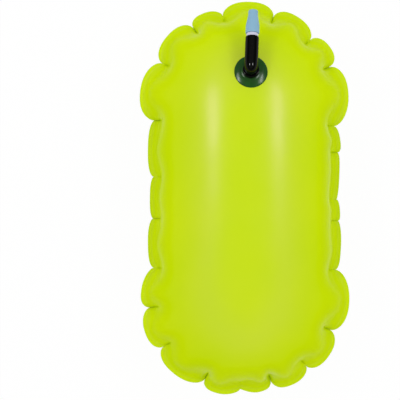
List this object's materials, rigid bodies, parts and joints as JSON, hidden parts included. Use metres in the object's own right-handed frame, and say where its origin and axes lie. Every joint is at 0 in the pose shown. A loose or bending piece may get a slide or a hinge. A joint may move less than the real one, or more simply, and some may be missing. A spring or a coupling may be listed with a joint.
{
  "type": "open water swim buoy",
  "caption": "Inflated stadium-shaped tow buoy of two welded film panels with a puckered seam, an elbowed oral valve and a tow ring.",
  "frame": {"origin": "under the middle of the bag, on the plane that its back panel rests on", "axes": "+Z out of the front panel, +Y along the bag towards the valve end, +X to the right as seen from the front"},
  "size_m": [0.279, 0.5226, 0.1939],
  "materials": {
    "yellow_film": "smooth satin air-tight film",
    "green_flange": "glossy dark translucent moulding",
    "black_gloss": "glossy moulding",
    "white_plastic": "satin moulding",
    "blue_plastic": "matte moulding",
    "black_rubber": "smooth rubber",
    "spring_steel": "drawn wire",
    "black_webbing": "woven webbing"
  },
  "bodies": {
    "bag": {"front_panel": "yellow_film", "rear_panel": "yellow_film", "valve_flange": "green_flange", "valve_collar": "black_gloss", "neck_o_ring": "black_rubber", "tow_pad": "yellow_film", "tow_loop": "black_webbing"},
    "elbow": {"inflation_elbow": "black_gloss", "valve_core": "white_plastic", "plug_o_ring": "black_rubber", "check_retainer": "black_gloss", "check_seat": "white_plastic", "poppet_spring": "spring_steel"},
    "poppet": {"check_poppet": "white_plastic", "poppet_washer": "black_rubber"},
    "seal": {"mouthpiece_seal": "black_rubber"},
    "mouthpiece": {"mouthpiece": "blue_plastic"},
    "tow_ring": {"tow_ring": "black_gloss"}
  },
  "joints": [
    {"name": "elbow_swivel", "type": "hinge", "parent": "bag", "child": "elbow", "pos_m": [0.00626, 0.16262, 0.16305], "axis": [-0.0252, 0.2416, 0.97], "continuous": true},
    {"name": "mouthpiece_lift", "type": "slide", "parent": "elbow", "child": "seal", "axis": [0.0456, 0.9696, -0.2403], "range_m": [0, 0.003]},
    {"name": "mouthpiece_twist", "type": "hinge", "parent": "seal", "child": "mouthpiece", "pos_m": [0.00568, 0.16817, 0.18537], "axis": [0.0456, 0.9696, -0.2403], "range_deg": [0, 180]},
    {"name": "poppet_slide", "type": "slide", "parent": "elbow", "child": "poppet", "axis": [-0.0456, -0.9696, 0.2403], "range_m": [0, 0.0022], "stiffness_N_per_m": 60, "springref_m": -0.002, "deforming": ["poppet_spring"]},
    {"name": "tow_ring_swing", "type": "hinge", "parent": "bag", "child": "tow_ring", "pos_m": [0.00095, -0.21774, 0.02466], "axis": [1, 0, 0], "range_deg": [-120, 45]}
  ],
  "couplings": [
    {"joint": "mouthpiece_lift", "follows": "mouthpiece_twist", "m_per_rad": 0.00095493}
  ]
}
